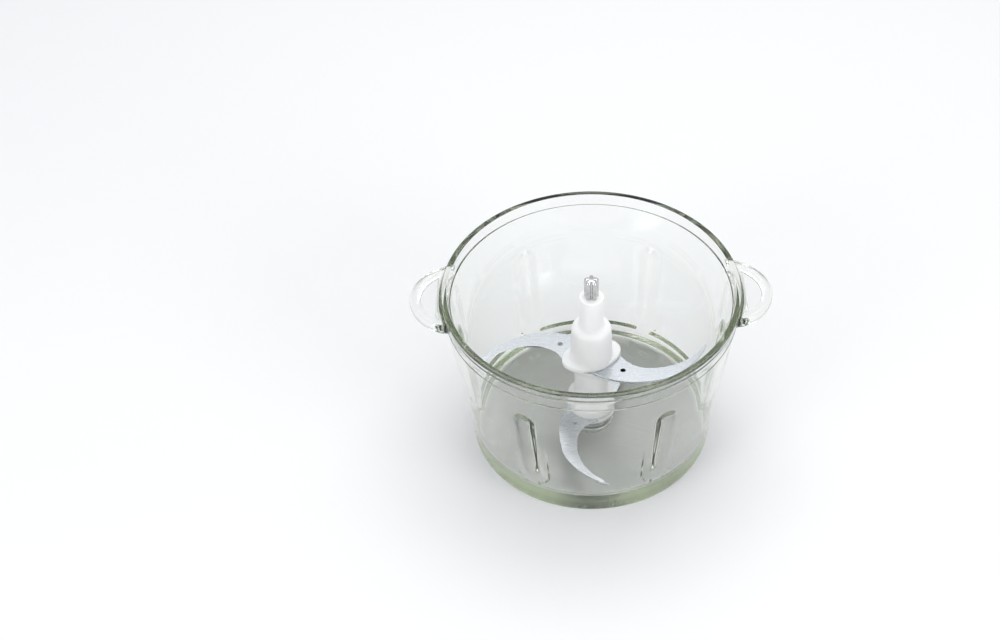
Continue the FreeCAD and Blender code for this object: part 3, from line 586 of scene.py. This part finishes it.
def leaf_outline():
    """One leaf's outline from its root to where its back meets the round middle, then along the middle."""
    edge_centre = (EDGE_X, EDGE_Y - EDGE_RADIUS)
    root_centre = (EDGE_X, EDGE_Y - ROOT_RADIUS)
    top = np.array([EDGE_X, EDGE_Y])
    root = np.array([EDGE_X + math.sqrt(ROOT_RADIUS**2 - (ROOT_END - root_centre[1]) ** 2), ROOT_END])
    middle_root = root / np.linalg.norm(root) * BLADE_HUB
    tip_edge = circles_cross((0, 0), LEAF_REACH, edge_centre, EDGE_RADIUS, False)
    tip_back = circles_cross((0, 0), LEAF_REACH, BACK_CENTRE, BACK_RADIUS, False)
    back_end = circles_cross((0, 0), BLADE_HUB, BACK_CENTRE, BACK_RADIUS, False)
    line = [middle_root]
    line += arc(root_centre, root, top, False, 24)
    line += arc(edge_centre, top, tip_edge, False, 36)
    line += arc((0, 0), tip_edge, tip_back, True, 4)
    line += arc(BACK_CENTRE, tip_back, back_end, True, 60)
    line += arc((0, 0), back_end, -middle_root, True, 16)
    return line


def blade(name, low, high, node, turn):
    """A flat S-blade cut from sheet, its concave edges ground thin from below."""
    reach = wall_radius(low / MM) - WALL - RIB_HIGH_DEPTH - TIP_CLEARANCE
    scale = reach / LEAF_REACH
    leaf = leaf_outline()
    outline = leaf + [-p for p in leaf]
    hole_at = on_circle(HOLE_DISTANCE, math.radians(HOLE_ANGLE))
    ring = [on_circle(HOLE_RADIUS, turned) for turned in np.linspace(0, 2 * np.pi, 28, endpoint=False)]
    square = [SQUARE_HALF * np.array(corner) for corner in ((1, 1), (-1, 1), (-1, -1), (1, -1))]
    curve = bpy.data.curves.new(name, "CURVE")
    curve.dimensions = "2D"
    curve.fill_mode = "BOTH"
    curve.extrude = (high - low) / 2 - BLADE_EDGE_ROUND * MM
    curve.bevel_depth = BLADE_EDGE_ROUND * MM
    curve.bevel_resolution = 0
    curve.offset = -BLADE_EDGE_ROUND * MM
    for line in (outline, [hole_at + p for p in ring], [p - hole_at for p in ring], square):
        spline = curve.splines.new("POLY")
        spline.points.add(len(line) - 1)
        for point, at in zip(spline.points, line):
            point.co = (at[0] * MM, at[1] * MM, 0, 1)
        spline.use_cyclic_u = True
    source = bpy.data.objects.new(f"{name}_curve", curve)
    bpy.context.scene.collection.objects.link(source)
    bpy.context.view_layer.update()
    mesh = bpy.data.meshes.new_from_object(source.evaluated_get(bpy.context.evaluated_depsgraph_get()))
    bpy.data.objects.remove(source)
    grind(mesh, (high - low) / 2)
    mesh.transform(Matrix.Diagonal((scale, scale, 1, 1)))
    mesh.transform(Matrix.Translation((0, 0, (low + high) / 2)) @ Matrix.Rotation(math.radians(turn), 4, "Z"))
    work = bmesh.new()
    work.from_mesh(mesh)
    bmesh.ops.remove_doubles(work, verts=work.verts, dist=1e-6)
    bmesh.ops.recalc_face_normals(work, faces=work.faces)
    work.to_mesh(mesh)
    work.free()
    mesh.materials.clear()
    mesh.materials.append(blade_steel)
    mesh.shade_smooth()
    mesh.set_sharp_from_angle(angle=math.radians(25))
    piece = bpy.data.objects.new(name, mesh)
    bpy.context.scene.collection.objects.link(piece)
    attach(piece, "carrier")
    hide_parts(node)
    return piece


def grind(mesh, half_thickness):
    """Moves the foot of each concave edge back into the leaf, so that a ground flat runs up to the edge."""
    for vertex in mesh.vertices:
        x, y, z = vertex.co.x / MM, vertex.co.y / MM, vertex.co.z
        side = -1 if x > 0 else 1
        x, y = x * side, y * side
        radius = EDGE_RADIUS if x < EDGE_X else ROOT_RADIUS
        away = np.array([x - EDGE_X, y - EDGE_Y + radius])
        off = np.linalg.norm(away) - radius
        if abs(off) > GROUND_NEAR or z > -half_thickness * 0.4 or y < ROOT_END + 0.5 and x > EDGE_X:
            continue
        out = math.hypot(x, y)
        share = min(1.0, (out - GROUND_START) / GROUND_RISE, (GROUND_END - out) / GROUND_FALL)
        push = away / np.linalg.norm(away) * GROUND_WIDTH * max(share, 0.0) * side
        vertex.co.x += push[0] * MM
        vertex.co.y += push[1] * MM


hub()
sleeve()
drive_tip()
pin()
blade("s_blade_upper", upper_low.z, upper_high.z, "upper_blade", TURN)
blade("s_blade_lower", lower_low.z, lower_high.z, "lower_blade", TURN + 90)

# ---------------------------------------------------------------- looks of the CAD nodes that stay
slots = {part["node"]: part["material_slot"] for part in frame["record"]["subparts"]}
for node, piece in frame["nodes"].items():
    look = plain_looks[slots[node]]
    for index in range(len(piece.data.materials)):
        piece.data.materials[index] = look
    if not piece.data.materials:
        piece.data.materials.append(look)
    piece.data.shade_smooth()
    piece.data.set_sharp_from_angle(angle=math.radians(30))

# ---------------------------------------------------------------- floor, light and camera
def plane(name, width, depth):
    mesh = bpy.data.meshes.new(name)
    corners = [(-width, -depth, 0), (width, -depth, 0), (width, depth, 0), (-width, depth, 0)]
    mesh.from_pydata(corners, [], [(0, 1, 2, 3)])
    thing = bpy.data.objects.new(name, mesh)
    bpy.context.scene.collection.objects.link(thing)
    return thing


FLOOR_DROP = 0.0004  # keeps the floor clear of the glass that stands on it
floor = plane("floor", 3.0, 3.0)
paper, _, paper_shader = new_material("floor_look")
paper_shader.inputs["Base Color"].default_value = (0.86, 0.865, 0.87, 1)
paper_shader.inputs["Roughness"].default_value = 0.6
floor.data.materials.append(paper)
floor.location.z = -FLOOR_DROP


def softbox(name, place, aim, width, height, power):
    light = bpy.data.lights.new(name, "AREA")
    light.shape = "RECTANGLE"
    light.size, light.size_y = width, height
    light.energy = power
    lamp = bpy.data.objects.new(name, light)
    lamp.location = place
    lamp.rotation_euler = (Vector(aim) - Vector(place)).to_track_quat("-Z", "Y").to_euler()
    bpy.context.scene.collection.objects.link(lamp)


middle = (0, 0, HEIGHT * MM / 2)
softbox("softbox_left", (-0.95, -0.85, 0.55), middle, width=0.5, height=0.8, power=4.6)
softbox("softbox_right", (0.95, -0.85, 0.6), middle, width=0.7, height=0.8, power=5.8)
softbox("softbox_top", (0.1, 0.5, 1.3), middle, width=1.2, height=0.8, power=6.5)

world = bpy.data.worlds.new("studio")
bpy.context.scene.world = world
world.use_nodes = True
background = world.node_tree.nodes["Background"]
background.inputs["Color"].default_value = (0.93, 0.95, 0.97, 1)
background.inputs["Strength"].default_value = 0.76

CAMERA_ELEVATION, CAMERA_AZIMUTH, CAMERA_DISTANCE = 45.76, -1.8, 0.981
up, round_z = math.radians(CAMERA_ELEVATION), math.radians(CAMERA_AZIMUTH)
aim = Vector((0, 0, 0.055))
lens = bpy.data.cameras.new("camera")
lens.sensor_width = 36.0
lens.lens = 56.4
lens.shift_x, lens.shift_y = -0.0914, 0.0414
camera = bpy.data.objects.new("camera", lens)
camera.location = aim + CAMERA_DISTANCE * Vector(
    (math.cos(up) * math.sin(round_z), -math.cos(up) * math.cos(round_z), math.sin(up))
)
camera.rotation_euler = (aim - camera.location).to_track_quat("-Z", "Y").to_euler()
bpy.context.scene.collection.objects.link(camera)
bpy.context.scene.camera = camera
bpy.context.scene.view_settings.view_transform = "Standard"
paths = bpy.context.scene.cycles
paths.max_bounces = 24
paths.glossy_bounces = 16
paths.transmission_bounces = 24
